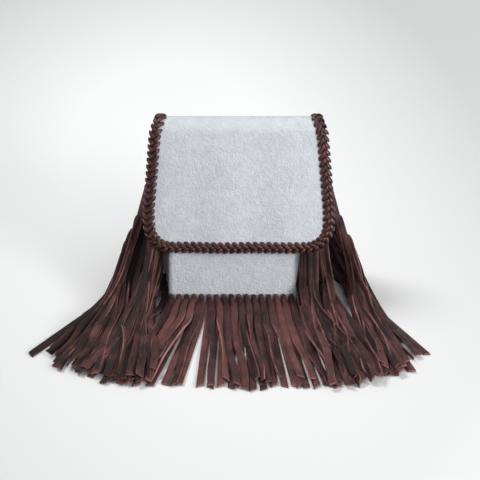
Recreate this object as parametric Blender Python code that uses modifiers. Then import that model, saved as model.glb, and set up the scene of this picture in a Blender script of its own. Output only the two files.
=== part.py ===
"""A fringed suede bag: a pale suede pouch with a fold-over flap, a braided leather lace round the edge of
the flap, and leather fringe along the front edge and down both sides. It stands on its base on the floor,
with its front towards -Y, and its origin is the middle of the base."""

import math
import random

import bmesh
import bpy
import numpy as np
from mathutils import Vector

for old in list(bpy.data.objects):
    bpy.data.objects.remove(old, do_unlink=True)

MM = 0.001

# Suede sheets
SUEDE = 1.4 * MM
SEAT = 0.3 * MM  # between pieces that touch

# Pouch
BASE_DEPTH = 60 * MM
FRONT_LEAN = math.radians(16)  # the front panel leans back from its foot
FRONT_HALF = 60 * MM
FRONT_TOP_HALF = 57 * MM
FRONT_CORNER = 12 * MM
BACK_HALF = 78 * MM
BACK_TOP_HALF = 68.5 * MM
BACK_TAPER = 80 * MM  # the height over which the back panel narrows to its top
BACK_CORNER = 14 * MM
BACK_HEIGHT = 141.4 * MM  # up to the hinge line, where the sheet starts to fold over
MOUTH_DROP = 11 * MM  # from the hinge line down to the top edge of the front panel
FLOOR_GAP = 0.3 * MM  # the panels end this far above the floor, and the gusset carries the bag
GUSSET_INSET = 1 * MM  # from the edge of the front panel to the gusset's middle
SEAM_INSET = 9 * MM  # from the edge of the back panel to the gusset's middle
SEAM_GAP = 0.5 * MM  # the gusset's cut edges are slanted, so they need more than SEAT

# Flap, measured along the sheet from the hinge line
FLAP_LENGTH = 134 * MM
FLAP_HALF = 77.7 * MM
FLAP_SHOULDER_HALF = 71.5 * MM  # where the fold ends and the flap hangs straight
FLAP_CROWN_HALF = 67 * MM
FLAP_WIDEST = 100 * MM
FLAP_CORNER = 21 * MM

# Edge lacing: a channel of lace that holds the sheet's edge
LACE_REACH = 6.7 * MM  # on to the sheet
LACE_PROUD = 2.5 * MM  # past its edge
LACE_THICK = 4.6 * MM
LACE_PITCH = 5.8 * MM  # one stitch
LACE_VALLEY = 0.72  # thickness between two stitches, as a share of the full one
LACE_SLANT = 0.55  # how far a stitch leans along the edge for each step across it

# Fringe
STRIP_WIDTH = 5.4 * MM
STRIP_ROOT_WIDTH = 4.6 * MM
STRIP_THICK = 1.4 * MM
STRIP_STEP = 9 * MM
STRIP_LIFT = 0.5 * MM  # a strip that lies on another stays this far above it
STRIP_ASIDE = 0.15 * MM  # and this far beside it
STRIP_BEND = 12 * MM  # radius at which a strip turns on to the floor
STRIP_CLIMB = math.radians(22)  # the steepest that a strip rises to lie over others
STRIP_DIP = math.radians(18)  # the most that it turns down again in one step
STRIP_STEEPEST_RISE = math.radians(60)  # past this the walk gives up
PITCH_TRY = math.radians(2)
FLOOR_LIFT = 0.05 * MM
TIP_SLANT = 2 * MM
FRONT_PITCH = 6.35 * MM
FRONT_FRINGE_LENGTH = 124 * MM
FRONT_FRINGE_UP = 9.5 * MM  # height of the holes along the front panel
FRONT_TURN = 50 * MM  # length over which a front strip turns to the heading it lies at
LENGTH_SPREAD = 3 * MM  # strips are this much longer or shorter than their row's length
FRONT_FANS = ((5, -20, -9), (14, -3, 12))  # strips, and the headings of the first and last, in degrees
BIGHT = ((3.2, 0), (4.3, 1.6), (2.8, 3.1), (-1.5, 2.3))  # round a strip's hole, up and out from its root, in mm
SIDE_HANG = math.radians(-70)
SIDE_TURN = 45 * MM  # length over which a side strip turns to the heading it lies at
TURN_FROM = 0.6  # share of the hanging length at which that turn starts
GOLDEN = 0.618  # steps of this share never bring two neighbours to one heading
FIRST_SHARE = 0.98
INNER_SLACK = 0.4 * MM  # room for the slanted root of an inner strip beside the gusset
OUTER_INSET = 3.5 * MM  # from the edge of the back panel to the root of an outer strip
# Rows of side strips: where they are rooted, how many, height of the lowest and steps upwards, the heading
# while a strip hangs and the range of the headings it lies at, in degrees outwards, and its length
LEFT_FRINGE = (
    ("gusset", 7, 20 * MM, 13 * MM, 16, -4, 21, 158 * MM),
    ("back", 8, 18 * MM, 13 * MM, 42, 2, 35, 170 * MM),
)
RIGHT_FRINGE = (
    ("gusset", 5, 20 * MM, 16 * MM, 16, 2, 22, 156 * MM),
    ("front", 2, 62 * MM, 8 * MM, 4, 20, 27, 168 * MM),
    ("back", 8, 18 * MM, 13 * MM, 42, 2, 29, 163 * MM),
)
FACE_ROOT = 52.5 * MM  # strips rooted on the front panel are this far from its middle

# Magnetic snap, with its sizes along the normal of the front panel
SNAP_UP = 21 * MM  # from the lower edge of the flap
SOCKET_RADIUS = 7.5 * MM
SOCKET_THICK = 1.3 * MM
SOCKET_HOLE = 2.6 * MM
BACKING_RADIUS = 9 * MM
BACKING_THICK = 0.8 * MM
STUD_RADIUS = 6.5 * MM
STUD_THICK = 0.8 * MM
STUD_NUB = 1.9 * MM
STUD_NUB_LENGTH = 0.9 * MM
PATCH_HALF = 11 * MM
PATCH_THICK = 0.7 * MM
SNAP_STEPS = 24

# The flap hangs in front of the front panel by what the snap needs between them
SNAP_STACK = SOCKET_THICK + STUD_THICK + PATCH_THICK + 4 * SEAT
FLAP_OFFSET = SUEDE + SNAP_STACK
FOLD_RADIUS = (
    FLAP_OFFSET + BASE_DEPTH * math.cos(FRONT_LEAN) - BACK_HEIGHT * math.sin(FRONT_LEAN)
) / (1 + math.cos(FRONT_LEAN))
FOLD_ANGLE = math.pi - FRONT_LEAN
FOLD_LENGTH = FOLD_RADIUS * FOLD_ANGLE
BACK_Y = BASE_DEPTH / 2
FOLD_Y = BACK_Y - FOLD_RADIUS
HINGE_Y = BACK_Y + LACE_THICK / 2 + SEAT  # behind everything that turns with the flap
FRONT_TOP = BACK_HEIGHT - MOUTH_DROP

collection = bpy.data.collections.new("fringed_suede_bag")
bpy.context.scene.collection.children.link(collection)


def material(name, colour, roughness, metallic=0.0):
    made = bpy.data.materials.new(name)
    made.use_nodes = True
    shader = made.node_tree.nodes["Principled BSDF"]
    shader.inputs["Base Color"].default_value = (*colour, 1)
    shader.inputs["Roughness"].default_value = roughness
    shader.inputs["Metallic"].default_value = metallic
    return made


PALE_SUEDE = material("pale_suede", (0.56, 0.58, 0.62), 0.95)
LACE_LEATHER = material("lace_leather", (0.10, 0.045, 0.04), 0.6)
FRINGE_SUEDE = material("fringe_suede", (0.11, 0.05, 0.045), 0.85)
SNAP_METAL = material("snap_metal", (0.62, 0.57, 0.47), 0.3, 1.0)


def new_object(name, bm, finish):
    """Turns a bmesh into a named object of the bag."""
    mesh = bpy.data.meshes.new(name)
    bm.to_mesh(mesh)
    bm.free()
    obj = bpy.data.objects.new(name, mesh)
    obj.data.materials.append(finish)
    collection.objects.link(obj)
    return obj


def thicken(obj, thickness):
    solid = obj.modifiers.new("thickness", "SOLIDIFY")
    solid.thickness = thickness
    solid.offset = 0
    return obj


def mapped_grid(name, rows, columns, place, finish, thickness):
    """A sheet: place(across, row) gives the point at across, from -1 to 1, of each row."""
    bm = bmesh.new()
    last = len(rows) - 1
    bmesh.ops.create_grid(bm, x_segments=columns, y_segments=last, size=1)
    for vert in bm.verts:
        row = rows[round((vert.co.y + 1) / 2 * last)]
        vert.co = place(vert.co.x, row)
    return thicken(new_object(name, bm, finish), thickness)


def front_at(x, up, out=0.0):
    """A point of the front panel: up along it from the floor, and out along its normal."""
    return Vector((
        x,
        -BASE_DEPTH / 2 + up * math.sin(FRONT_LEAN) - out * math.cos(FRONT_LEAN),
        up * math.cos(FRONT_LEAN) + out * math.sin(FRONT_LEAN),
    ))


def up_front(z, out=0.0):
    """How far up the front panel a height lies."""
    return (z - out * math.sin(FRONT_LEAN)) / math.cos(FRONT_LEAN)


def flap_at(x, along, out=0.0):
    """A point of the flap: along the sheet from the hinge line, over the fold and down the front."""
    turn = min(along / FOLD_RADIUS, FOLD_ANGLE)
    straight = max(0.0, along - FOLD_LENGTH)
    radius = FOLD_RADIUS + out
    return Vector((
        x,
        FOLD_Y + radius * math.cos(turn) - straight * math.sin(FRONT_LEAN),
        BACK_HEIGHT + radius * math.sin(turn) - straight * math.cos(FRONT_LEAN),
    ))


def back_at(x, z, out=0.0):
    return Vector((x, BACK_Y + out, z))


def rounded(half, corner, left):
    """Half width of a sheet whose lower corners are round, where left is the way to its lower edge."""
    into = max(0.0, corner - left)
    return half - corner + math.sqrt(max(0.0, corner**2 - into**2))


def rows_down(start, end, corner, straight=6, bend=6):
    """Rows from start to a lower edge at end, closer together where the corners are round."""
    sign = 1 if end > start else -1
    turn = end - sign * corner
    rows = list(np.linspace(start, turn, straight + 1))
    return rows + [turn + sign * corner * math.sin(k / bend * math.pi / 2) for k in range(1, bend + 1)]


def front_half(z):
    half = FRONT_HALF + (FRONT_TOP_HALF - FRONT_HALF) * z / FRONT_TOP
    return rounded(half, FRONT_CORNER, z - FLOOR_GAP)


def back_half(z):
    share = min(1.0, max(0.0, (BACK_HEIGHT - z) / BACK_TAPER))
    half = BACK_TOP_HALF + (BACK_HALF - BACK_TOP_HALF) * math.sin(share * math.pi / 2)
    return rounded(half, BACK_CORNER, z - FLOOR_GAP)


def flap_half(along):
    crown = FOLD_RADIUS * math.pi / 2
    widths = (BACK_TOP_HALF, FLAP_CROWN_HALF, FLAP_SHOULDER_HALF, FLAP_HALF)
    half = float(np.interp(along, (0, crown, FOLD_LENGTH, FLAP_WIDEST), widths))
    return rounded(half, FLAP_CORNER, FLAP_LENGTH - along)


def panels():
    rows = rows_down(FRONT_TOP, FLOOR_GAP, FRONT_CORNER)
    mapped_grid("front_panel", rows, 4, lambda x, z: front_at(x * front_half(z), up_front(z)),
                PALE_SUEDE, SUEDE)
    rows = rows_down(BACK_HEIGHT - SEAT / 2, FLOOR_GAP, BACK_CORNER, straight=8)
    mapped_grid("back_panel", rows, 4, lambda x, z: back_at(x * back_half(z), z), PALE_SUEDE, SUEDE)


def cup_rows(side=6, bend=6, bottom=4):
    """Rows of the gusset: down the left side, round the corner, across the base and up the right side.
    Each is (which part, share of it)."""
    rows = [("left", k / side) for k in range(side)]
    rows += [("left_corner", k / bend) for k in range(bend)]
    rows += [("base", k / bottom) for k in range(bottom + 1)]
    rows += [("right_corner", k / bend) for k in range(1, bend + 1)]
    return rows + [("right", k / side) for k in range(1, side + 1)]


def cup_point(row, half_at, inset, corner, top):
    """(x, z) of a row of the gusset, at one of its two seams."""
    part, share = row
    low = SUEDE / 2
    if part in ("left", "right"):
        sign, share = (-1, share) if part == "left" else (1, 1 - share)
        z = top + (low + corner - top) * share
        return sign * (half_at(max(z, corner + low)) - inset), z
    half = half_at(corner + low) - inset
    if part == "base":
        return (2 * share - 1) * (half - corner), low
    sign, turn = (-1, share) if part == "left_corner" else (1, 1 - share)
    turn *= math.pi / 2
    x = half - corner + corner * math.cos(turn)
    return sign * x, low + corner - corner * math.sin(turn)


def gusset():
    """One long strip of suede, from the front seam to the wider back seam."""
    behind = -(SUEDE / 2 + SEAM_GAP)

    def place(across, row):
        x, z = cup_point(row, front_half, GUSSET_INSET, FRONT_CORNER, FRONT_TOP)
        front = front_at(x, up_front(z, behind), behind)
        x, z = cup_point(row, back_half, SEAM_INSET, BACK_CORNER, FRONT_TOP)
        back = back_at(x, z, behind)
        return front.lerp(back, (across + 1) / 2)

    mapped_grid("gusset", cup_rows(), 2, place, PALE_SUEDE, SUEDE)


def flap():
    fold = list(np.linspace(SEAT / 2, FOLD_LENGTH, 11))
    rows = fold[:-1] + rows_down(FOLD_LENGTH, FLAP_LENGTH, FLAP_CORNER, straight=4)
    return mapped_grid("flap", rows, 4, lambda x, s: flap_at(x * flap_half(s), s), PALE_SUEDE, SUEDE)


def lace_section(thick):
    """Outline of the lacing across the sheet's edge, as (outward, share of the slant, normal) points. It is
    open on the inner side, where the sheet's edge sits in a slot."""
    slot = SUEDE / 2 + SEAT
    half = thick / 2
    lip = slot + (half - slot) * 0.25
    upper = [(-LACE_REACH, lip), (-LACE_REACH * 0.8, half * 0.95), (-LACE_REACH * 0.1, half),
             (LACE_PROUD, half * 0.45)]
    lower = [(u, -w) for u, w in reversed(upper)]
    return upper + lower + [(-LACE_REACH, -slot), (SEAT, -slot), (SEAT, slot), (-LACE_REACH, slot)]


def even_points(outline, count):
    """A polyline cut into count equal steps: each point with its outward normal."""
    points = np.array(outline)
    steps = np.linalg.norm(np.diff(points, axis=0), axis=1)
    run = np.concatenate([[0], np.cumsum(steps)])
    at = np.linspace(0, run[-1], count + 1)
    even = np.column_stack([np.interp(at, run, points[:, k]) for k in (0, 1)])
    tangent = np.gradient(even, axis=0)
    tangent /= np.linalg.norm(tangent, axis=1)[:, None]
    return even, tangent, np.column_stack([-tangent[:, 1], tangent[:, 0]]), at


def lacing(name, outline, place, sides):
    """A ribbed channel of lace along an outline given in the sheet's own two directions. sides is 1 where
    the normal of the outline points out of the sheet, and -1 where it points into it."""
    length = float(np.linalg.norm(np.diff(np.array(outline), axis=0), axis=1).sum())
    count = 2 * max(2, round(length / LACE_PITCH))
    even, tangent, normal, at = even_points(outline, count)
    bm = bmesh.new()
    rings = []
    for k in range(count + 1):
        thick = LACE_THICK * (1.0 if k % 2 else LACE_VALLEY)
        near_end = min(at[k], at[-1] - at[k]) / (2 * LACE_PITCH)
        ring = []
        for u, w in lace_section(thick):
            lean = LACE_SLANT * u * min(1.0, near_end)
            spot = even[k] + sides * normal[k] * u + tangent[k] * lean
            ring.append(bm.verts.new(place(spot[0], spot[1], w)))
        rings.append(ring)
    for first, second in zip(rings, rings[1:]):
        for j in range(len(first)):
            n = (j + 1) % len(first)
            bm.faces.new((first[j], first[n], second[n], second[j]))
    bm.faces.new(rings[0])
    bm.faces.new(rings[-1])
    bmesh.ops.recalc_face_normals(bm, faces=bm.faces)
    return new_object(name, bm, LACE_LEATHER)


def flap_outline():
    """The flap's edge in (x, along): down the left side, round both corners and up the right side."""
    rows = list(np.linspace(SEAT / 2, FLAP_LENGTH - FLAP_CORNER, 60))
    rows += [FLAP_LENGTH - FLAP_CORNER * (1 - math.sin(k / 12 * math.pi / 2)) for k in range(1, 13)]
    left = [(-flap_half(s), s) for s in rows]
    return left + [(-x, s) for x, s in reversed(left)]


def back_outline(side):
    rows = np.linspace(BACK_HEIGHT - SEAT / 2, FLOOR_GAP + BACK_CORNER + LACE_PITCH / 2, 40)
    return [(side * back_half(z), z) for z in rows]


class Ground:
    """Height of the floor and of the strips laid on it so far, on a fine square grid."""

    CELL = 0.3 * MM
    REACH = 220 * MM

    def __init__(self):
        size = int(2 * self.REACH / self.CELL)
        self.top = np.full((size, size), FLOOR_LIFT - STRIP_LIFT)

    def cells(self, points):
        index = ((points[..., :2] + self.REACH) / self.CELL).astype(int)
        return index[..., 0], index[..., 1]

    def cover_bight(self, points):
        """Takes up the bight of a strip at the front, with its thickness all round."""
        half = STRIP_THICK / 2
        across = np.linspace(-STRIP_WIDTH / 2, STRIP_WIDTH / 2, 24)[None, :, None] * np.array([1.0, 0, 0])
        for start, end in zip(points, points[1:]):
            for depth in (-half, 0, half):
                self.cover(np.linspace(start, end, 12)[:, None, :] + across + np.array([0, depth, half]))

    def clearance(self, points):
        return points[..., 2] - self.top[self.cells(points)] - STRIP_LIFT

    def cover(self, points):
        flat = points.reshape(-1, 3)
        np.maximum.at(self.top, self.cells(flat), flat[:, 2])


def step_surface(start, heading, pitch, length, samples, out):
    """Points over one step of a strip, on its upper or lower face."""
    ahead = np.array([math.sin(heading), -math.cos(heading), 0.0])
    aside = np.array([math.cos(heading), math.sin(heading), 0.0])
    way = ahead * math.cos(pitch) + np.array([0, 0, math.sin(pitch)])
    normal = np.array([0, 0, math.cos(pitch)]) - ahead * math.sin(pitch)
    along = np.linspace(0, length, samples)[:, None, None] * way
    half = STRIP_WIDTH / 2 + STRIP_ASIDE
    across = np.linspace(-half, half, samples)[None, :, None] * aside
    return start + along + across + normal * out, way


def lay_strip(ground, root, heading_at, length, hang):
    """Walks a strip down from its root in equal steps. Each step is the steepest that stays clear of what
    lies below and leaves room for the strip to bend on to it."""
    count = round(length / STRIP_STEP)
    step = length / count
    path = [np.array(root)]
    headings = [heading_at(0.0)]
    lower, upper = -STRIP_THICK / 2, STRIP_THICK / 2
    least = hang
    for k in range(count):
        heading = heading_at((k + 0.5) * step)
        for pitch in np.arange(least, STRIP_STEEPEST_RISE, PITCH_TRY):
            under, way = step_surface(path[-1], heading, pitch, step, 12, lower)
            end = path[-1] + way * step
            rise = step_surface(end, heading_at((k + 2) * step), STRIP_CLIMB, 2.5 * step, 12, lower)[0]
            bend = STRIP_BEND * (1 - math.cos(pitch)) if pitch < 0 else 0
            clear = ground.clearance(under)
            if clear[1:].min() > 0 and clear[-1].min() > bend and ground.clearance(rise).min() > 0:
                break
        least = max(hang, pitch - STRIP_DIP)
        path.append(end)
        headings.append(heading)
    for k in range(count):
        way = path[k + 1] - path[k]
        pitch = math.asin(way[2] / np.linalg.norm(way))
        for out in (lower, upper):
            ground.cover(step_surface(path[k], headings[k + 1], pitch, step, 40, out)[0])
    return path, headings


def strip(name, path, headings, slant):
    """A flat strip along a path, a little narrower at its root, cut at a slant at its tip."""
    last = len(path) - 1

    def place(across, k):
        heading = headings[k] if k in (0, last) else (headings[k] + headings[k + 1]) / 2
        half = (STRIP_ROOT_WIDTH if k == 0 else STRIP_WIDTH) / 2
        aside = Vector((math.cos(heading), math.sin(heading), 0))
        point = Vector(path[k]) + aside * across * half
        if k == last:
            point += (Vector(path[k]) - Vector(path[k - 1])).normalized() * slant * across
        return point

    return mapped_grid(name, list(range(len(path))), 1, place, FRINGE_SUEDE, STRIP_THICK)


def ease(share):
    share = min(1.0, max(0.0, share))
    return share * share * (3 - 2 * share)


def front_fringe(ground, draw):
    """Strips pulled through holes along the foot of the front panel, in fans that part where they lie."""
    count = sum(fan[0] for fan in FRONT_FANS)
    out = SUEDE / 2 + SEAT + STRIP_THICK / 2
    up = up_front(FRONT_FRINGE_UP, out)
    bights = []
    for size, first, last in FRONT_FANS:
        for k in range(size):
            x = (len(bights) - (count - 1) / 2) * FRONT_PITCH
            turn = math.radians(first + (last - first) * k / (size - 1))
            length = FRONT_FRINGE_LENGTH + draw.uniform(-1, 1) * LENGTH_SPREAD
            path, headings = lay_strip(
                ground, front_at(x, up, out), lambda s, turn=turn: turn * ease(s / FRONT_TURN),
                length, FRONT_LEAN - math.pi / 2)
            bight = [np.array(front_at(x, up + rise * MM, out + off * MM)) for rise, off in BIGHT]
            bights.append(bight)
            strip(f"front_fringe_{len(bights):02d}", bight + path[1:], headings[:1] * (len(bight) - 1) + headings,
                  draw.uniform(-1, 1) * TIP_SLANT)
    for bight in bights:
        ground.cover_bight(bight)


def side_root(kind, side, k, z, out):
    """Where a side strip starts, at a height z: beside the gusset, on the face of the front panel, or in front
    of the back panel's edge. out is the heading in which it hangs."""
    if kind == "gusset":
        middle = (front_half(z) - GUSSET_INSET + back_half(z) - SEAM_INSET) / 2
        beside = SUEDE / 2 + SEAT + INNER_SLACK + STRIP_ROOT_WIDTH / 2
        return side * (middle + beside), (front_at(0, up_front(z)).y + BACK_Y) / 2, z
    if kind == "front":
        off = SUEDE / 2 + SEAT + STRIP_THICK / 2
        return front_at(side * (FACE_ROOT + (k - 0.5) * FRONT_PITCH), up_front(z, off), off)
    behind = (STRIP_ROOT_WIDTH * math.sin(out) + STRIP_THICK * math.cos(out)) / 2
    return side * (back_half(z) - OUTER_INSET), BACK_Y - LACE_THICK / 2 - SEAT - behind, z


def side_fringe(ground, draw, name, side, rows):
    """Strips that hang from the seams of one side, lowest first, and lie forward in an open fan. The golden
    ratio spreads the headings of a row so that neighbours don't lie side by side."""
    number = 0
    for kind, count, lowest, pitch, outwards, least, most, full in rows:
        out = math.radians(outwards)
        steepest = FRONT_LEAN - math.pi / 2 if kind == "front" else SIDE_HANG
        for k in range(count):
            z = lowest + k * pitch
            turn = math.radians(least + (most - least) * ((FIRST_SHARE + k * GOLDEN) % 1))
            hang = z / abs(math.sin(steepest))

            def heading(s, turn=turn, hang=hang, out=out):
                return side * (out + (turn - out) * ease((s - TURN_FROM * hang) / SIDE_TURN))

            number += 1
            length = full + draw.uniform(-1, 1) * LENGTH_SPREAD
            path, headings = lay_strip(ground, side_root(kind, side, k, z, out), heading, length, steepest)
            strip(f"{name}_{number:02d}", path, headings, draw.uniform(-1, 1) * TIP_SLANT)


def turned(name, profile, place, finish):
    """A piece turned round the normal of the front panel, from its (radius, height) profile."""
    bm = bmesh.new()
    verts = [bm.verts.new((radius, 0, height)) for radius, height in profile]
    ring = verts if profile[0][0] == 0 else verts + verts[:1]
    for first, second in zip(ring, ring[1:]):
        bm.edges.new((first, second))
    obj = new_object(name, bm, finish)
    obj.location = place
    obj.rotation_euler = (math.pi / 2 - FRONT_LEAN, 0, 0)
    screw = obj.modifiers.new("turn", "SCREW")
    screw.steps = SNAP_STEPS
    screw.render_steps = SNAP_STEPS
    screw.use_merge_vertices = True
    screw.merge_threshold = 0.00001
    return obj


def snap():
    """The magnetic snap between flap and front panel: the pieces on the panel, then those on the flap."""
    edge = flap_at(0, FLAP_LENGTH - SNAP_UP)
    up = (Vector((0, edge.y + BASE_DEPTH / 2, edge.z))).dot(
        Vector((0, math.sin(FRONT_LEAN), math.cos(FRONT_LEAN))))
    place = front_at(0, up)
    face = SUEDE / 2 + SEAT
    low, high = face, face + SOCKET_THICK
    turned("snap_socket", [(SOCKET_HOLE, high), (SOCKET_RADIUS, high), (SOCKET_RADIUS, low),
                           (SOCKET_HOLE, low)], place, SNAP_METAL)
    low, high = -face - BACKING_THICK, -face
    turned("snap_socket_backing", [(0, high), (BACKING_RADIUS, high), (BACKING_RADIUS, low), (0, low)],
           place, SNAP_METAL)
    low = face + SOCKET_THICK + SEAT
    high = low + STUD_THICK
    tip = low - STUD_NUB_LENGTH
    stud = turned("snap_stud", [(0, high), (STUD_RADIUS, high), (STUD_RADIUS, low), (STUD_NUB, low),
                                (STUD_NUB, tip), (0, tip)], place, SNAP_METAL)
    bm = bmesh.new()
    bmesh.ops.create_grid(bm, x_segments=1, y_segments=1, size=PATCH_HALF)
    patch = thicken(new_object("snap_stud_patch", bm, PALE_SUEDE), PATCH_THICK)
    patch.location = front_at(0, up, high + SEAT + PATCH_THICK / 2)
    patch.rotation_euler = (math.pi / 2 - FRONT_LEAN, 0, 0)
    return [stud, patch]


def hang_from_hinge(pieces):
    """Parents what turns with the flap to an empty on the hinge line."""
    hinge = bpy.data.objects.new("flap_hinge", None)
    hinge.location = (0, HINGE_Y, BACK_HEIGHT)
    hinge.empty_display_size = 0.02
    collection.objects.link(hinge)
    bpy.context.view_layer.update()
    for piece in pieces:
        piece.parent = hinge
        piece.matrix_parent_inverse = hinge.matrix_world.inverted()


draw = random.Random(7)
ground = Ground()
panels()
gusset()
on_flap = [flap(), lacing("flap_lacing", flap_outline(), flap_at, 1)]
lacing("back_lacing_left", back_outline(-1), back_at, -1)
lacing("back_lacing_right", back_outline(1), back_at, 1)
front_fringe(ground, draw)
side_fringe(ground, draw, "left_fringe", -1, LEFT_FRINGE)
side_fringe(ground, draw, "right_fringe", 1, RIGHT_FRINGE)
hang_from_hinge(on_flap + snap())
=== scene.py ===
# %% [markdown]
# # A fringed suede bag
# The real bag is one long piece of pale suede that makes the back, folds over the top and hangs down the
# front as a flap. A leather lace is braided round its edge, a front panel and a gusset make the pouch, and
# strips of dark leather hang from the front panel and from both side seams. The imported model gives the
# sizes and the places. Here each piece gets the softness, the edges and the finish of the real one.

import math
import random

import bmesh
import bpy
import numpy as np
from mathutils import Matrix, Vector


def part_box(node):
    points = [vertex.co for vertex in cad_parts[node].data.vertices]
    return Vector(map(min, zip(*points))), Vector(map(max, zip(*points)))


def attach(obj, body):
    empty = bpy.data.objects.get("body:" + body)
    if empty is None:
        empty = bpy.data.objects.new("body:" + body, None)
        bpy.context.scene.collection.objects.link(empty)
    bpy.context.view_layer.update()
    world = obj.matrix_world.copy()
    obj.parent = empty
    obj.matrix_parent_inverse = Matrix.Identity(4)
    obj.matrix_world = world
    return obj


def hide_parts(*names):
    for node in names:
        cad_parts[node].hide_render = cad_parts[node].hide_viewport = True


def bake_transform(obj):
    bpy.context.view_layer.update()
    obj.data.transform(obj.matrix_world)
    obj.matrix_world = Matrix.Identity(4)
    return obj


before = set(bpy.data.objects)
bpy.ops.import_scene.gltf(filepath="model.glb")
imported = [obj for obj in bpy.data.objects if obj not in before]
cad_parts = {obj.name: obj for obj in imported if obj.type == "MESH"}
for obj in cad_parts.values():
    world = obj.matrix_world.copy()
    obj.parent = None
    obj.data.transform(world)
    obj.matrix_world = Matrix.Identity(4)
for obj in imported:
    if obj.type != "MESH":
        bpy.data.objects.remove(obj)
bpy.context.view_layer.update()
MM = 0.001

# %% [markdown]
# ## Camera
# A product photo of a small bag is taken with a long lens from a little above, so that its base doesn't look
# larger than its top. The pitch and the distance came from how fast the flap narrows upwards in the photo.

# %% Camera
camera = bpy.data.objects.new("camera", bpy.data.cameras.new("camera"))
bpy.context.scene.collection.objects.link(camera)
camera.location = (1.07 * MM, -1018.8 * MM, 635.4 * MM)
camera.rotation_euler = (math.radians(60), 0, 0)
camera.data.sensor_width = 36
camera.data.lens = 102.9
camera.data.clip_end = 50
bpy.context.scene.camera = camera
bpy.context.scene.view_settings.view_transform = "Standard"

# %% [markdown]
# ## Materials
# A finish is a network of nodes. One function turns the hex colours that a paint card gives into the linear
# numbers that the renderer adds up, one adds a node with its settings and its links, and the others add the
# few kinds of node that every finish here is made of.

# %% Helpers for materials


def linear(hex_colour):
    """An sRGB colour such as "#c4c7cd", as linear RGB with alpha 1."""
    parts = [int(hex_colour[k:k + 2], 16) / 255 for k in (1, 3, 5)]
    return (*(p / 12.92 if p <= 0.04045 else ((p + 0.055) / 1.055) ** 2.4 for p in parts), 1)


def set_values(node, values):
    for name, value in values.items():
        node.inputs[name].default_value = value


def add(tree, kind, settings=None, values=None, links=None):
    """Adds a node: settings are its properties, values its sockets' numbers, links what feeds its sockets."""
    node = tree.nodes.new(kind)
    for name, value in (settings or {}).items():
        setattr(node, name, value)
    set_values(node, values or {})
    for name, source in (links or {}).items():
        tree.links.new(source, node.inputs[name])
    return node


def object_place(tree):
    return add(tree, "ShaderNodeTexCoord").outputs["Object"]


def noise(tree, place, size, detail=2.0, roughness=0.5):
    """Noise whose patches are about this size."""
    return add(tree, "ShaderNodeTexNoise", links={"Vector": place},
               values={"Scale": 1 / size, "Detail": detail, "Roughness": roughness}).outputs["Fac"]


def mix(tree, share, first, second):
    return add(tree, "ShaderNodeMix", settings={"data_type": "FLOAT"}, values={0: share},
               links={2: first, 3: second}).outputs[0]


def ranged(tree, value, low, high, to=(0, 1)):
    """Turns the range from low to high into the range to."""
    return add(tree, "ShaderNodeMapRange", links={"Value": value},
               values={"From Min": low, "From Max": high, "To Min": to[0], "To Max": to[1]}).outputs["Result"]


def roughen(tree, shader, height, strength, depth):
    bump = add(tree, "ShaderNodeBump", values={"Strength": strength, "Distance": depth}, links={"Height": height})
    tree.links.new(bump.outputs["Normal"], shader.inputs["Normal"])


def new_finish(name):
    made = bpy.data.materials.new(name)
    made.use_nodes = True
    return made, made.node_tree, made.node_tree.nodes["Principled BSDF"]


def blend_colours(tree, share, low, high):
    """A colour that goes from low to high with share."""
    ramp = add(tree, "ShaderNodeValToRGB", links={"Fac": share})
    ramp.color_ramp.elements[0].color = linear(low)
    ramp.color_ramp.elements[1].color = linear(high)
    return ramp.outputs["Color"]


# %% [markdown]
# Suede is the flesh side of a hide, sanded to a nap of short fibres. It has no gloss, and shows faint clouds
# where a hand has brushed the nap one way or the other. The fibres are about 0.3 mm long, which is too fine
# to show in the picture, so the grain is drawn at 0.9 mm, its tufts at three times that and the clouds at
# 7 mm. Noise in the Object coordinates gives all three, as suede has no direction of its own.

# %% Pale suede
TUFT_GRAINS = 3  # a tuft of nap is this many grains wide
NAP_SHARE = 0.35  # of the colour comes from the tufts, and the rest from the clouds
NAP_RELIEF = 1.6 * MM  # deeper than the real nap, as its grain is coarser


def suede(name, low, high, cloud_size, grain_size, bump):
    made, tree, shader = new_finish(name)
    place = object_place(tree)
    cloud = noise(tree, place, cloud_size, detail=3.0, roughness=0.55)
    nap = noise(tree, place, TUFT_GRAINS * grain_size)
    grain = noise(tree, place, grain_size)
    share = ranged(tree, mix(tree, NAP_SHARE, cloud, nap), 0.3, 0.7)
    tree.links.new(blend_colours(tree, share, low, high), shader.inputs["Base Color"])
    roughen(tree, shader, mix(tree, 0.5, nap, grain), bump, NAP_RELIEF)
    set_values(shader, {"Roughness": 0.95, "Specular IOR Level": 0.15,
                        "Sheen Weight": 0.12, "Sheen Roughness": 0.6})
    return made


pale_suede = suede("pale_suede_brushed", "#bbbfc5", "#ced2d7", 7 * MM, 0.9 * MM, 1.0)
suede_edge = suede("pale_suede_cut_edge", "#a9abb0", "#c6c9ce", 4 * MM, 0.9 * MM, 0.8)

# %% [markdown]
# The fringe is a thinner garment leather, dyed through in a dark red-brown. Its face has a short nap that turns
# pinkish where the light grazes it, and its cut edges are painted paler, partly for paler fibres and partly as a
# painted highlight where light catches them. The streaks follow each strip's own UV map, which runs along the
# strip in metres, because a knife drags the fibres that way. Each strip has a tone of its own, kept as an
# attribute, and in the strips at the sides that tone is lowered as painted shade. Each strip is also painted
# darker towards its root, as painted shade where it lies among others.

# %% Fringe leather
STREAK_WIDE, STREAK_LONG = 1.2 * MM, 9 * MM
HIDE_PATCH = 14 * MM  # one part of a hide takes the dye darker than the next
HIDE_GRAIN = 0.6 * MM
TONE_WEIGHT = 0.3  # of a strip's own tone, against the streaks and patches
ROOT_SHADE_KEEP = 0.22  # the share of its colour that a root keeps under its painted shade
ROOT_SHADE_FROM, ROOT_SHADE_TO = 2 * MM, 32 * MM  # along a strip, from the root's painted shade to its own colour
SHEEN_PINK = linear("#f0c8c4")


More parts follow.
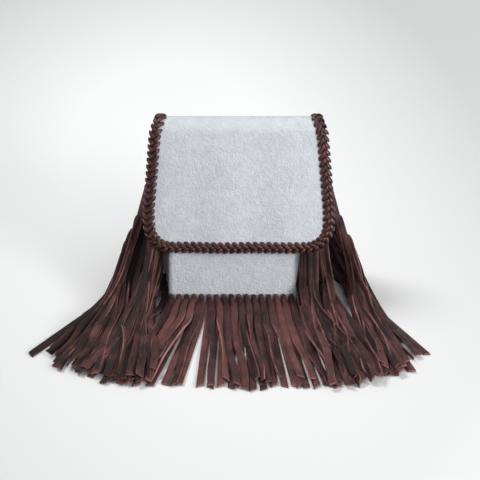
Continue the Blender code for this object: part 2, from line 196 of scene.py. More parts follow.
def strip_leather(name, low, high, sheen):
    made, tree, shader = new_finish(name)
    along = add(tree, "ShaderNodeUVMap", settings={"uv_map": "along"}).outputs["UV"]
    streaks = add(tree, "ShaderNodeMapping", values={"Scale": (1 / STREAK_WIDE, 1 / STREAK_LONG, 1)},
                  links={"Vector": along}).outputs["Vector"]
    streak = noise(tree, streaks, 1.0, detail=3.0)
    place = object_place(tree)
    mixed = mix(tree, 0.5, streak, noise(tree, place, HIDE_PATCH))
    tone = add(tree, "ShaderNodeAttribute", settings={"attribute_name": "tone"}).outputs["Fac"]
    toned = add(tree, "ShaderNodeMath", settings={"operation": "MULTIPLY_ADD"}, values={1: TONE_WEIGHT},
                links={0: tone, 2: mixed}).outputs[0]
    dyed = blend_colours(tree, ranged(tree, toned, 0.45, 0.95), low, high)
    from_root = add(tree, "ShaderNodeSeparateXYZ", links={"Vector": along}).outputs["Y"]
    # painted shade: each strip's colour is darkened towards its root
    painted_root_shade = ranged(tree, from_root, ROOT_SHADE_FROM, ROOT_SHADE_TO, (ROOT_SHADE_KEEP, 1.0))
    colour = add(tree, "ShaderNodeMix", settings={"data_type": "RGBA", "blend_type": "MULTIPLY"}, values={0: 1.0},
                 links={6: dyed, 7: painted_root_shade}).outputs[2]
    tree.links.new(colour, shader.inputs["Base Color"])
    roughen(tree, shader, noise(tree, place, HIDE_GRAIN), 0.4, 0.4 * MM)
    set_values(shader, {"Roughness": 0.75, "Specular IOR Level": 0.3, "Sheen Weight": sheen,
                        "Sheen Roughness": 0.45, "Sheen Tint": SHEEN_PINK})
    return made


fringe_leather = strip_leather("fringe_leather_napped", "#1c0d0c", "#6c403d", 0.07)
# the cut edges are painted paler: partly paler fibres, partly a painted highlight where light catches them
fringe_edge_and_highlight = strip_leather("fringe_cut_edge_and_highlight", "#4c2a28", "#a87772", 0.14)

# %% [markdown]
# The lace is the same hide, cut narrow and pulled tight, so that its face is rubbed smoother and takes a
# soft highlight along each strand.

# %% Lace leather
LACE_PATCH, LACE_GRAIN = 3 * MM, 0.5 * MM


def lace_leather():
    made, tree, shader = new_finish("lace_leather_smooth")
    place = object_place(tree)
    share = ranged(tree, noise(tree, place, LACE_PATCH, detail=3.0), 0.35, 0.65)
    tree.links.new(blend_colours(tree, share, "#130504", "#592c29"), shader.inputs["Base Color"])
    roughen(tree, shader, noise(tree, place, LACE_GRAIN), 0.3, 0.3 * MM)
    set_values(shader, {"Roughness": 0.36, "Specular IOR Level": 0.45, "Sheen Weight": 0.05,
                        "Sheen Roughness": 0.4, "Sheen Tint": SHEEN_PINK})
    return made


lace = lace_leather()

# %% [markdown]
# A magnetic snap is pressed from brass sheet and plated, and it has been tumbled rather than polished.

# %% Snap metal
WORN_PATCH = 1.5 * MM


def snap_brass():
    made, tree, shader = new_finish("snap_brass_tumbled")
    wear = noise(tree, object_place(tree), WORN_PATCH, detail=3.0)
    tree.links.new(blend_colours(tree, wear, "#a5997c", "#c9bfa2"), shader.inputs["Base Color"])
    tree.links.new(ranged(tree, wear, 0, 1, (0.25, 0.45)), shader.inputs["Roughness"])
    set_values(shader, {"Metallic": 1.0})
    return made


brass = snap_brass()
for node in ("snap_socket", "snap_socket_backing", "snap_stud"):
    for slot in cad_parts[node].material_slots:
        slot.material = brass

# %% [markdown]
# ## Floor and light
# The studio is a pale sweep under soft light from all round. A lamp high up behind on the left throws the soft
# shadow to the right, and a broad one lights the front. Both are suns, which don't fade with distance, so their
# light on the floor stays even. A near lamp on the right makes the flap darken to the left. The paper's colour
# holds a painted pool of light: it is painted paler in an oval round the bag and greyer away from it, as painted
# falloff towards the picture's corners.

# %% Floor
LIGHT_POOL_MIDDLE = (-0.078, 0.30, 0)
LIGHT_POOL_SIZE = (0.34, 0.68, 1)  # where the painted pool of light has faded to its darkest
LIGHT_POOL_START = 0.3  # the share of that size at which the painted light starts to fade
# the paper's albedo inside the painted pool of light round the bag, and away from it
POOL_LIT_ALBEDO, POOL_DIM_ALBEDO = 0.8, 0.56
FLOOR_HALF = 6


def floor():
    made, tree, shader = new_finish("studio_paper_painted_light_pool")
    place = add(tree, "ShaderNodeMapping", settings={"vector_type": "TEXTURE"},
                values={"Location": LIGHT_POOL_MIDDLE, "Scale": LIGHT_POOL_SIZE},
                links={"Vector": object_place(tree)}).outputs["Vector"]
    away = add(tree, "ShaderNodeVectorMath", settings={"operation": "LENGTH"}, links={0: place}).outputs["Value"]
    # painted pool of light: the paper is paler near the bag and greyer away from it
    painted_pool_albedo = ranged(tree, away, LIGHT_POOL_START, 1.0, (POOL_LIT_ALBEDO, POOL_DIM_ALBEDO))
    tree.links.new(painted_pool_albedo, shader.inputs["Base Color"])
    set_values(shader, {"Roughness": 1.0, "Specular IOR Level": 0.0})
    bm = bmesh.new()
    bmesh.ops.create_grid(bm, x_segments=1, y_segments=1, size=FLOOR_HALF)
    mesh = bpy.data.meshes.new("floor")
    bm.to_mesh(mesh)
    bm.free()
    obj = bpy.data.objects.new("floor", mesh)
    mesh.materials.append(made)
    bpy.context.scene.collection.objects.link(obj)


floor()

# %% Lamps
LAMPS = {  # where each comes from: degrees right of the front, degrees up, strength, width in degrees
    "left_back": (-118, 57, 0.56, 20),
    "front_top": (40, 50, 0.25, 60),
}
SIDE_LAMP = (0.65, -0.54, 0.40)  # a near lamp on the right, so that the flap darkens to the left
SIDE_LAMP_SIZE = 0.34
SIDE_LAMP_WATTS = 5.1
BAG_MIDDLE = (0, 0, 0.07)


def lamp(name, side, up, strength, width):
    """A lamp at an angle, whose strength is what it adds to a white face that looks straight at it."""
    light = bpy.data.lights.new(name, "SUN")
    light.energy = strength * math.pi
    light.angle = math.radians(width)
    obj = bpy.data.objects.new(name, light)
    bpy.context.scene.collection.objects.link(obj)
    obj.rotation_euler = (math.radians(90 - up), 0, math.radians(side))


for name, (side, up, strength, width) in LAMPS.items():
    lamp(name, side, up, strength, width)

side_lamp = bpy.data.objects.new("side_lamp", bpy.data.lights.new("side_lamp", "AREA"))
side_lamp.data.size = SIDE_LAMP_SIZE
side_lamp.data.energy = SIDE_LAMP_WATTS
side_lamp.location = SIDE_LAMP
side_lamp.rotation_euler = (Vector(SIDE_LAMP) - Vector(BAG_MIDDLE)).to_track_quat("Z", "Y").to_euler()
bpy.context.scene.collection.objects.link(side_lamp)

# %% Light from all round
ROOM_COLOUR = (0.97, 0.985, 1.0, 1)
ROOM_LEFT, ROOM_RIGHT = 0.3, 0.62  # the room is darker on the left

world = bpy.data.worlds.new("studio")
bpy.context.scene.world = world
world.use_nodes = True
room = world.node_tree.nodes["Background"]
room.inputs["Color"].default_value = ROOM_COLOUR
sky = add(world.node_tree, "ShaderNodeTexCoord").outputs["Generated"]
from_right = add(world.node_tree, "ShaderNodeSeparateXYZ", links={"Vector": sky}).outputs["X"]
level = ranged(world.node_tree, from_right, -1, 1, (ROOM_LEFT, ROOM_RIGHT))
world.node_tree.links.new(level, room.inputs["Strength"])

# %% [markdown]
# ## The shape of the bag
# The model's own formulas are repeated here, so that every piece follows them exactly. The long suede sheet
# has two directions: x across it, and s along it, from the hinge line at the top of the back. Behind the
# hinge line s is negative and runs down the back, and past it s runs over the fold and down the front.

# %% Sizes of the model
SUEDE = 1.4 * MM
SEAT = 0.3 * MM
BASE_DEPTH = 60 * MM
FRONT_LEAN = math.radians(16)
FRONT_HALF = 60 * MM
FRONT_TOP_HALF = 57 * MM
FRONT_CORNER = 12 * MM
BACK_HALF = 78 * MM
BACK_TOP_HALF = 68.5 * MM
BACK_TAPER = 80 * MM
BACK_CORNER = 14 * MM
BACK_HEIGHT = 141.4 * MM
MOUTH_DROP = 11 * MM
FLOOR_GAP = 0.3 * MM
GUSSET_INSET = 1 * MM
SEAM_INSET = 9 * MM
SEAM_GAP = 0.5 * MM
FLAP_LENGTH = 134 * MM
FLAP_HALF = 77.7 * MM
FLAP_SHOULDER_HALF = 71.5 * MM
FLAP_CROWN_HALF = 67 * MM
FLAP_WIDEST = 100 * MM
FLAP_CORNER = 21 * MM
LACE_THICK = 4.6 * MM
FLAP_OFFSET = SUEDE + 4.0 * MM  # room for the snap between front panel and flap
FOLD_RADIUS = (
    FLAP_OFFSET + BASE_DEPTH * math.cos(FRONT_LEAN) - BACK_HEIGHT * math.sin(FRONT_LEAN)
) / (1 + math.cos(FRONT_LEAN))
FOLD_ANGLE = math.pi - FRONT_LEAN
FOLD_LENGTH = FOLD_RADIUS * FOLD_ANGLE
BACK_Y = BASE_DEPTH / 2
FOLD_Y = BACK_Y - FOLD_RADIUS
FRONT_TOP = BACK_HEIGHT - MOUTH_DROP
print("fold radius", round(FOLD_RADIUS / MM, 2), "mm")
print("sheet", round((BACK_HEIGHT + FLAP_LENGTH) / MM, 1), "mm long")

# %% Waves of the hanging flap
WAVE, WAVE_WIDTH, WAVE_ASIDE, WAVE_START = 0.8 * MM, 27 * MM, 3 * MM, 25 * MM
WAVE_TURN = 1.2  # radians by which a wave leans over the flap's length
TURNED_BACK, TURN_START, TURN_ASIDE, TURN_WIDTH = 7.2 * MM, 40 * MM, 18 * MM, 110 * MM
CREASE, CREASE_AT, CREASE_HALF = 0.7 * MM, (-8 * MM, 110 * MM), (5 * MM, 18 * MM)
CREASE_WAY = (0.83, 0.55)  # across it

# %% Points of the panels


def front_at(x, up, out=0.0):
    """A point of the front panel: up along it from the floor, and out along its normal."""
    return Vector((
        x,
        -BASE_DEPTH / 2 + up * math.sin(FRONT_LEAN) - out * math.cos(FRONT_LEAN),
        up * math.cos(FRONT_LEAN) + out * math.sin(FRONT_LEAN),
    ))


def up_front(z, out=0.0):
    return (z - out * math.sin(FRONT_LEAN)) / math.cos(FRONT_LEAN)


def ease(share):
    share = min(1.0, max(0.0, share))
    return share * share * (3 - 2 * share)


def drape(x, s):
    """How far the hanging flap stands off its plane: softly waved, turned back a little at the left, with one
    short crease, and flat at the fold."""
    below = s - FOLD_LENGTH
    phase = (x + WAVE_ASIDE) / WAVE_WIDTH * math.pi + WAVE_TURN * s / FLAP_LENGTH
    wave = WAVE * ease(below / WAVE_START) * (1 + math.cos(phase))
    turned_back = TURNED_BACK * ease(below / TURN_START) * ease((-TURN_ASIDE - x) / TURN_WIDTH)
    x, s = x - CREASE_AT[0], s - CREASE_AT[1]
    across = (x * CREASE_WAY[0] + s * CREASE_WAY[1]) / CREASE_HALF[0]
    along = (x * CREASE_WAY[1] - s * CREASE_WAY[0]) / CREASE_HALF[1]
    return wave - turned_back + CREASE * math.exp(-across * across - along * along)


def sheet_at(x, s, out=0.0):
    """A point of the folded sheet, out along its normal."""
    if s <= 0:
        return Vector((x, BACK_Y + out, BACK_HEIGHT + s))
    turn = min(s / FOLD_RADIUS, FOLD_ANGLE)
    straight = max(0.0, s - FOLD_LENGTH)
    radius = FOLD_RADIUS + out + drape(x, s)
    return Vector((
        x,
        FOLD_Y + radius * math.cos(turn) - straight * math.sin(FRONT_LEAN),
        BACK_HEIGHT + radius * math.sin(turn) - straight * math.cos(FRONT_LEAN),
    ))


def rounded(half, corner, left):
    into = max(0.0, corner - left)
    return half - corner + math.sqrt(max(0.0, corner**2 - into**2))


def front_half(z):
    half = FRONT_HALF + (FRONT_TOP_HALF - FRONT_HALF) * z / FRONT_TOP
    return rounded(half, FRONT_CORNER, z - FLOOR_GAP)


def back_half(z):
    share = min(1.0, max(0.0, (BACK_HEIGHT - z) / BACK_TAPER))
    half = BACK_TOP_HALF + (BACK_HALF - BACK_TOP_HALF) * math.sin(share * math.pi / 2)
    return rounded(half, BACK_CORNER, z - FLOOR_GAP)


def sheet_half(s):
    """Half the width of the folded sheet."""
    if s <= 0:
        return back_half(BACK_HEIGHT + s)
    crown = FOLD_RADIUS * math.pi / 2
    widths = (BACK_TOP_HALF, FLAP_CROWN_HALF, FLAP_SHOULDER_HALF, FLAP_HALF)
    half = float(np.interp(s, (0, crown, FOLD_LENGTH, FLAP_WIDEST), widths))
    return rounded(half, FLAP_CORNER, FLAP_LENGTH - s)


# %% [markdown]
# ## Suede panels
# A panel is a flat cut piece, so it is made as one: a grid whose points are moved to where the suede lies,
# with a Solidify modifier for its thickness. Solidify gives the cut edge its own material, as the edge of
# suede looks different from its face. Each grid keeps a UV map in real metres from before it was bent.

# %% Making a sheet


def new_piece(name, bm, finishes):
    """Turns a bmesh into a smooth object with these materials."""
    mesh = bpy.data.meshes.new(name)
    bm.to_mesh(mesh)
    bm.free()
    mesh.polygons.foreach_set("use_smooth", [True] * len(mesh.polygons))
    for finish in finishes:
        mesh.materials.append(finish)
    obj = bpy.data.objects.new(name, mesh)
    bpy.context.scene.collection.objects.link(obj)
    return obj


def thicken(obj, thickness):
    """Gives a sheet its thickness, half of it on each side, and its cut edge the second material."""
    solid = obj.modifiers.new("thickness", "SOLIDIFY")
    solid.thickness = thickness
    solid.offset = 0
    solid.material_offset_rim = 1 if len(obj.data.materials) > 1 else 0
    return obj


def bent_grid(bm, rows, columns, place, width, lengths):
    """Adds a grid whose points place(across, row) puts where they lie, with across from -1 to 1."""
    uv = bm.loops.layers.uv.get("along") or bm.loops.layers.uv.new("along")
    last = len(rows) - 1
    verts = bmesh.ops.create_grid(bm, x_segments=columns, y_segments=last, size=1)["verts"]
    for face in {face for vert in verts for face in vert.link_faces}:
        for loop in face.loops:
            co = loop.vert.co
            loop[uv].uv = (co.x * width / 2, lengths[round((co.y + 1) / 2 * last)])
    for vert in verts:
        vert.co = place(vert.co.x, rows[round((vert.co.y + 1) / 2 * last)])
    return verts


def sheet_piece(name, rows, columns, place, width, thickness=SUEDE):
    bm = bmesh.new()
    bent_grid(bm, rows, columns, place, width, list(rows))
    bmesh.ops.recalc_face_normals(bm, faces=bm.faces)
    return thicken(new_piece(name, bm, [pale_suede, suede_edge]), thickness)


def run_along(points):
    """How far along the way through these points each of them is."""
    run = [0.0]
    for first, second in zip(points, points[1:]):
        run.append(run[-1] + (second - first).length)
    return run


CORNER_ROWS = 12


def rows_round(start, end, corner, step):
    """Rows from start to an edge at end, closer together where the corners are round."""
    sign = 1 if end > start else -1
    turn = end - sign * corner
    rows = list(np.linspace(start, turn, max(2, round(abs(turn - start) / step)) + 1))
    bend = [math.sin(k / CORNER_ROWS * math.pi / 2) for k in range(1, CORNER_ROWS + 1)]
    return rows + [turn + sign * corner * share for share in bend]


def flat_area(rows, half):
    """The area of a cut piece, from its half widths at these rows."""
    widths = [2 * half(row) for row in rows]
    return float(sum(abs(b - a) * (v + w) / 2 for a, b, v, w in zip(rows, rows[1:], widths, widths[1:])))


# %% Folded sheet: back and flap
down = rows_round(0, -(BACK_HEIGHT - FLOOR_GAP), BACK_CORNER, 3 * MM)
fold = list(np.linspace(0, FOLD_LENGTH, 25))
sheet_rows = down[::-1] + fold[1:-1] + rows_round(FOLD_LENGTH, FLAP_LENGTH, FLAP_CORNER, 3 * MM)
folded_sheet = sheet_piece("folded_suede_sheet", sheet_rows, 48,
                           lambda across, s: sheet_at(across * sheet_half(s), s), 2 * FLAP_HALF)
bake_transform(folded_sheet)
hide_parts("back_panel", "flap")
sheet_area = flat_area(sheet_rows, sheet_half)
print("folded sheet", round(sheet_area * 1e4, 1), "square cm")

# %% Front panel
front_rows = rows_round(FRONT_TOP, FLOOR_GAP, FRONT_CORNER, 4 * MM)
front_panel = sheet_piece("pouch_front", front_rows, 30,
                          lambda across, z: front_at(across * front_half(z), up_front(z)), 2 * FRONT_HALF)
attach(front_panel, "bag")
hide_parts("front_panel")
front_area = flat_area(front_rows, front_half) / math.cos(FRONT_LEAN)

# %% [markdown]
# ## Gusset
# The gusset is one long strip that starts at the mouth on the left, goes down the side, under the base and
# up the right side. It lies just inside the front panel and the back, and it is wider at the base than at
# the mouth, because the front leans back. So its grid is ruled between its two seams.

# %% Gusset


def cup_rows(side, bend, bottom):
    """Rows down the left side, round the corner, across the base and up the right: (part, share of it)."""
    rows = [("left", k / side) for k in range(side)]
    rows += [("left_corner", k / bend) for k in range(bend)]
    rows += [("base", k / bottom) for k in range(bottom + 1)]
    rows += [("right_corner", k / bend) for k in range(1, bend + 1)]
    return rows + [("right", k / side) for k in range(1, side + 1)]


def cup_point(row, half_at, inset, corner, top):
    """(x, z) of a row of the gusset, at one of its two seams."""
    part, share = row
    low = SUEDE / 2
    if part in ("left", "right"):
        sign, share = (-1, share) if part == "left" else (1, 1 - share)
        z = top + (low + corner - top) * share
        return sign * (half_at(max(z, corner + low)) - inset), z
    half = half_at(corner + low) - inset
    if part == "base":
        return (2 * share - 1) * (half - corner), low
    sign, turn = (-1, share) if part == "left_corner" else (1, 1 - share)
    turn *= math.pi / 2
    return sign * (half - corner + corner * math.cos(turn)), low + corner - corner * math.sin(turn)


def gusset_at(across, row):
    behind = -(SUEDE / 2 + SEAM_GAP)
    x, z = cup_point(row, front_half, GUSSET_INSET, FRONT_CORNER, FRONT_TOP)
    front_seam = front_at(x, up_front(z, behind), behind)
    x, z = cup_point(row, back_half, SEAM_INSET, BACK_CORNER, FRONT_TOP)
    back_seam = Vector((x, BACK_Y + behind, z))
    return front_seam.lerp(back_seam, (across + 1) / 2)


rows = cup_rows(side=24, bend=10, bottom=20)
run = run_along([gusset_at(0, row) for row in rows])
bm = bmesh.new()
bent_grid(bm, rows, 10, gusset_at, BASE_DEPTH, run)
gusset = thicken(new_piece("pouch_gusset", bm, [pale_suede, suede_edge]), SUEDE)
depths = [(gusset_at(1, row) - gusset_at(-1, row)).length for row in rows]
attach(gusset, "bag")
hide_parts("gusset")
print("gusset", round(run[-1] / MM), "mm long, up to", round(max(depths) / MM), "mm wide")

# %% Patch behind the snap's stud
PATCH_HALF = 11 * MM
PATCH_THICK = 0.7 * MM
PATCH_ROUND = 0.12  # its corners are drawn in by this share
low, high = (Vector(corner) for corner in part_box("snap_stud_patch"))
patch_middle = (low + high) / 2
lean = Matrix.Rotation(math.pi / 2 - FRONT_LEAN, 3, "X")


def patch_at(across, down_it):
    """A square with round corners."""
    round_off = 1 - PATCH_ROUND * (across * down_it) ** 4
    return patch_middle + lean @ Vector((across * round_off * PATCH_HALF, down_it * round_off * PATCH_HALF, 0))


patch_rows = [k / 6 - 1 for k in range(13)]
stud_patch = sheet_piece("snap_patch", patch_rows, 12, patch_at, 2 * PATCH_HALF, PATCH_THICK)
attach(stud_patch, "flap")
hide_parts("snap_stud_patch")

# %% [markdown]
# ## Braided edge lacing
# The lace goes through a row of punched holes, over the edge and back under the loop before it. So each
# stitch shows as a slanted strand on both faces, and the loops lean the other way, which makes a chain of V
# shapes along the edge. Each stitch is three short flat tubes: one on each face, and one that leans back and
# wraps the edge. A single long strand below them stands for the turns that can't be seen. A tube's points
# are given in the edge's own directions: how many stitches along it, how far out from it and how far up from
# the sheet, with an angle for its flat side.

# %% The edge of the folded sheet
LACE_PITCH = 5.8 * MM
EDGE_LOOK = 2 * MM  # the edge's direction is taken between the points this far behind and ahead
EDGE_ROWS, EDGE_CORNER_ROWS = 160, 24
back_end = -(BACK_HEIGHT - FLOOR_GAP - BACK_CORNER - LACE_PITCH / 2)
straight = np.linspace(back_end, FLAP_LENGTH - FLAP_CORNER, EDGE_ROWS)
bend = [1 - math.sin(k / EDGE_CORNER_ROWS * math.pi / 2) for k in range(1, EDGE_CORNER_ROWS + 1)]
edge_rows = [*straight, *(FLAP_LENGTH - FLAP_CORNER * share for share in bend)]
left_edge = [(-sheet_half(s), s) for s in edge_rows]
edge = np.array(left_edge + [(-x, s) for x, s in reversed(left_edge)])
edge_run = np.concatenate([[0], np.cumsum(np.linalg.norm(np.diff(edge, axis=0), axis=1))])
stitches = round(edge_run[-1] / LACE_PITCH)
stitch_pitch = edge_run[-1] / stitches
print(stitches, "stitches of", round(stitch_pitch / MM, 2), "mm")


def edge_point(run_at):
    run_at = np.clip(run_at, 0, edge_run[-1])
    return np.array([np.interp(run_at, edge_run, edge[:, k]) for k in (0, 1)])


def edge_frame(run_at):
    """The point of the edge at this distance along it, and its outward direction, in x and s."""
    tangent = edge_point(run_at + EDGE_LOOK) - edge_point(run_at - EDGE_LOOK)
    tangent /= np.linalg.norm(tangent)
    return edge_point(run_at), np.array([-tangent[1], tangent[0]])


def lace_at(stitch, out, up):
    point, outward = edge_frame(stitch * stitch_pitch)
    x, s = point + outward * out
    return sheet_at(x, s, up)


# %% Flat tubes of lace
LACE_WIDTH = 3.5 * MM
LACE_STRAND = 1.3 * MM
FACE_STRAND = [  # stitches along, mm out, mm up, and where the flat side looks: 0 up, 90 out
    (-0.25, -7.1, 0.6, -60), (-0.12, -6.1, 1.75, -30), (0.2, -4.4, 2.4, -5), (0.62, -2.6, 2.6, 5),
    (1.0, -1.4, 2.1, 15),
]
CHAIN_STRAND = [
    (1.12, -2.1, 1.9, -10), (0.95, -0.7, 2.4, 15), (0.66, 1.0, 1.9, 40), (0.46, 2.2, 0.8, 65),
    (0.4, 2.5, 0.0, 90), (0.46, 2.2, -0.8, 115), (0.66, 1.0, -1.9, 140), (0.95, -0.7, -2.4, 165),
    (1.12, -2.1, -1.9, 190),
]
STRAND_TAPER = 0.7  # a strand's ends, which go into the others, are this share of its size
CORE = (-1.7, 5.6, 2.5)  # mm out to its middle, mm wide and mm thick: the turns that lie below the others


def strand(bm, points, facings, width, thick, sides=6):
    """A flat tube along points, closed at its ends, made from a grid that is rolled up."""
    last = len(points) - 1
    verts = bmesh.ops.create_grid(bm, x_segments=sides, y_segments=last, size=1)["verts"]
    for vert in verts:
        k = round((vert.co.y + 1) / 2 * last)
        turn = math.pi * (vert.co.x + 1)
        ahead = (points[min(k + 1, last)] - points[max(k - 1, 0)]).normalized()
        aside = ahead.cross(facings[k]).normalized()
        up = aside.cross(ahead)
        taper = 1 if 0 < k < last else STRAND_TAPER
        vert.co = points[k] + (aside * (width / 2 * math.cos(turn)) + up * (thick / 2 * math.sin(turn))) * taper


def stitch_strand(bm, stitch, shape, mirror):
    """Adds one strand of a stitch. mirror is 1 on the face of the sheet and -1 behind it."""
    points, facings = [], []
    for along, out, up, facing in shape:
        angle = math.radians(facing)
        place = (stitch + along, out * MM, mirror * up * MM)
        look = (stitch + along, (out + math.sin(angle)) * MM, mirror * (up + math.cos(angle)) * MM)
        points.append(lace_at(*place))
        facings.append((lace_at(*look) - points[-1]).normalized())
    strand(bm, points, facings, LACE_WIDTH, LACE_STRAND)


bm = bmesh.new()
for k in range(1, stitches - 1):
    for shape, mirror in ((FACE_STRAND, 1), (FACE_STRAND, -1), (CHAIN_STRAND, 1)):
        stitch_strand(bm, k, shape, mirror)
out, width, thick = (size * MM for size in CORE)
spots = np.arange(1, stitches - 0.5, 0.5)
strand(bm, [lace_at(spot, out, 0.0) for spot in spots],
       [(lace_at(spot, out, 1 * MM) - lace_at(spot, out, 0.0)).normalized() for spot in spots], width, thick)
bmesh.ops.remove_doubles(bm, verts=bm.verts, dist=0.001 * MM)
bmesh.ops.holes_fill(bm, edges=bm.edges, sides=8)
bmesh.ops.recalc_face_normals(bm, faces=bm.faces)
edge_lacing = new_piece("edge_lacing", bm, [lace])
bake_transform(edge_lacing)
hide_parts("flap_lacing", "back_lacing_left", "back_lacing_right")
print("lacing faces", len(edge_lacing.data.polygons))

# %% [markdown]
# ## Fringe
# A strip hangs from its hole and then lies on the floor, or on strips that were there first. The model lays them
# one after another on a fine map of heights, and the same walk is repeated here, with the same seed, so that each
# strip lies where its solid does. Then each is drawn finer: a smooth path, a slight arch across the strip, a
# little twist along it, and a cut edge painted paler, partly for paler fibres and partly as a painted highlight.

# %% Laying strips
STRIP_WIDTH = 5.4 * MM
STRIP_ROOT_WIDTH = 4.6 * MM
STRIP_THICK = 1.4 * MM
STRIP_STEP = 9 * MM
STRIP_LIFT = 0.5 * MM  # a strip that lies on another stays this far above it
STRIP_ASIDE = 0.15 * MM
STRIP_BEND = 12 * MM
STRIP_CLIMB = math.radians(22)
STRIP_DIP = math.radians(18)
STRIP_STEEPEST_RISE = math.radians(60)
PITCH_TRY = math.radians(2)
RISE_STEPS = 2.5  # this many steps ahead, a climb has to be clear too
TEST_POINTS, COVER_POINTS = 12, 40  # each way over one step, to test it and to take up its place
FLOOR_LIFT = 0.05 * MM
TIP_SLANT = 2 * MM


class Ground:
    """Height of the floor and of the strips laid on it so far, on a fine square grid."""

    CELL = 0.3 * MM
    REACH = 220 * MM

    def __init__(self):
        size = int(2 * self.REACH / self.CELL)
        self.top = np.full((size, size), FLOOR_LIFT - STRIP_LIFT)

    def cells(self, points):
        index = ((points[..., :2] + self.REACH) / self.CELL).astype(int)
        return index[..., 0], index[..., 1]

    def cover_bight(self, points):
        """Takes up the bight of a strip at the front, with its thickness all round."""
        half = STRIP_THICK / 2
        across = np.linspace(-STRIP_WIDTH / 2, STRIP_WIDTH / 2, 24)[None, :, None] * np.array([1.0, 0, 0])
        for start, end in zip(points, points[1:]):
            for depth in (-half, 0, half):
                self.cover(np.linspace(start, end, 12)[:, None, :] + across + np.array([0, depth, half]))

    def clearance(self, points):
        return points[..., 2] - self.top[self.cells(points)] - STRIP_LIFT

    def cover(self, points):
        flat = points.reshape(-1, 3)
        np.maximum.at(self.top, self.cells(flat), flat[:, 2])


def step_surface(start, heading, pitch, length, samples, out):
    """Points over one step of a strip, on its upper or lower face."""
    ahead = np.array([math.sin(heading), -math.cos(heading), 0.0])
    aside = np.array([math.cos(heading), math.sin(heading), 0.0])
    way = ahead * math.cos(pitch) + np.array([0, 0, math.sin(pitch)])
    normal = np.array([0, 0, math.cos(pitch)]) - ahead * math.sin(pitch)
    along = np.linspace(0, length, samples)[:, None, None] * way
    half = STRIP_WIDTH / 2 + STRIP_ASIDE
    across = np.linspace(-half, half, samples)[None, :, None] * aside
    return start + along + across + normal * out, way


def lay_strip(ground, root, heading_at, length, hang):
    """Walks a strip down from its root. Each step is the steepest that stays clear of what lies below."""
    count = round(length / STRIP_STEP)
    step = length / count
    path = [np.array(root)]
    headings = [heading_at(0.0)]
    lower, upper = -STRIP_THICK / 2, STRIP_THICK / 2
    least = hang
    for k in range(count):
        heading = heading_at((k + 0.5) * step)
        for pitch in np.arange(least, STRIP_STEEPEST_RISE, PITCH_TRY):
            under, way = step_surface(path[-1], heading, pitch, step, TEST_POINTS, lower)
            end = path[-1] + way * step
            rise = step_surface(end, heading_at((k + 2) * step), STRIP_CLIMB, RISE_STEPS * step, TEST_POINTS,
                                lower)[0]
            bend = STRIP_BEND * (1 - math.cos(pitch)) if pitch < 0 else 0
            clear = ground.clearance(under)
            if clear[1:].min() > 0 and clear[-1].min() > bend and ground.clearance(rise).min() > 0:
                break
        least = max(hang, pitch - STRIP_DIP)
        path.append(end)
        headings.append(heading)
    for k in range(count):
        way = path[k + 1] - path[k]
        pitch = math.asin(way[2] / np.linalg.norm(way))
        for out in (lower, upper):
            ground.cover(step_surface(path[k], headings[k + 1], pitch, step, COVER_POINTS, out)[0])
    return path, headings


# %% Drawing a strip
STRIP_FINE = 4  # rows for each step of the walk
STRIP_ARCH = 0.35 * MM  # a strip is slightly arched across
STRIP_ROLL = math.radians(12)  # the most that it twists, once it is free of its hole
ROLL_SPEED = (0.02, 0.045)  # how fast it twists, in radians for each mm
ROLL_FROM = 0.4  # the share of the hanging part after which it may twist
LOOSENS = 40 * MM  # and the length over which it comes to do so
ROLL_LIFT = 0.9  # a strip on its edge is raised by this share of half its width
STRIP_DRAWN = 5.8 * MM  # a little wider than the solid, as pressed leather spreads
HOLE_WIDTH = 3.4 * MM  # a strip is pulled narrow and round at its hole
PULLED = 16 * MM  # and this long is its way back to full width
HOLE_BOW = 0.9 * MM  # at a hole it is bent into a gutter this deep
TIP_ROWS = 3  # a slanted tip takes up this many rows
HANG_LEAST = 20 * MM
HANG_STEEP = 0.6  # a part that falls by less than this share of its length lies on something
FRONT_START = 20 * MM  # where a front strip's UV map starts, so that less of its root gets painted shade


def smooth_path(points):
    """A curve through the points (Catmull-Rom), with STRIP_FINE rows for each step."""
    given = np.array([2 * np.array(points[0]) - points[1], *points, 2 * np.array(points[-1]) - points[-2]])
    curve = []
    for a, b, c, d in zip(given, given[1:], given[2:], given[3:]):
        for share in np.arange(STRIP_FINE) / STRIP_FINE:
            curve.append(0.5 * (2 * b + (c - a) * share + (2 * a - 5 * b + 4 * c - d) * share**2
                                + (3 * b - a - 3 * c + d) * share**3))
    return [Vector(point) for point in [*curve, given[-2]]]


def hanging(points, run):
    """How far down its way a strip hangs, before it bends on to the others."""
    for k, (a, b) in enumerate(zip(points, points[1:])):
        length = float(np.linalg.norm(np.array(b) - np.array(a)))
        if run[k] > HANG_LEAST and b[2] - a[2] > -HANG_STEEP * length:
            return run[k]
    return run[-1]


